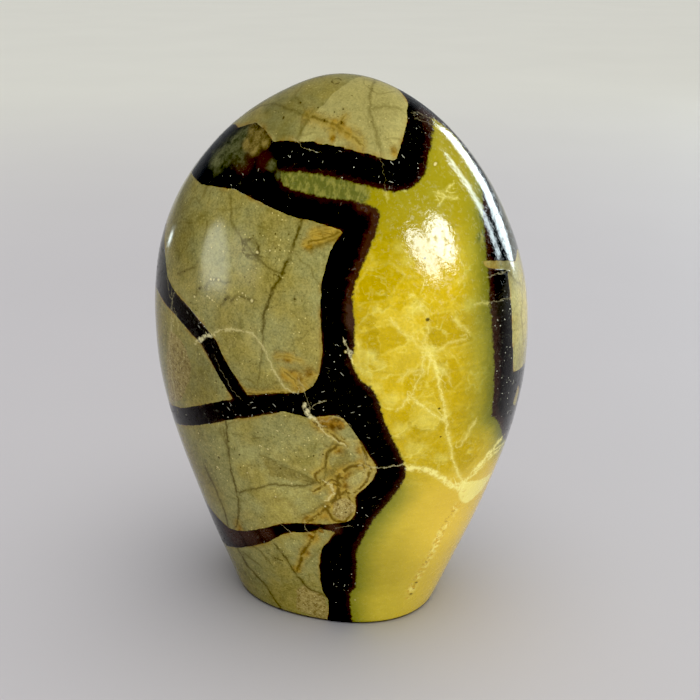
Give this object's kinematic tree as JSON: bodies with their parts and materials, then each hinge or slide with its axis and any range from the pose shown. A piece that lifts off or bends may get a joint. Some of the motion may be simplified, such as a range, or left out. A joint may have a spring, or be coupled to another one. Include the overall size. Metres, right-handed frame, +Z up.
{
  "type": "septarian nodule",
  "caption": "Polished free-standing septarian stone, an upright flattened egg cut flat at its narrow end, with grey-olive blocks, dark veins and a yellow calcite core",
  "frame": {"origin": "the middle of the flat foot that the stone stands on", "axes": "+Z up, from the foot to the crown; -Y is the way the broad face looks; +X to the right of that face"},
  "size_m": [0.1045, 0.0672, 0.15],
  "materials": {
    "polished_stone": "polished"
  },
  "bodies": {
    "root": {"septarian_nodule": "polished_stone"}
  },
  "joints": []
}
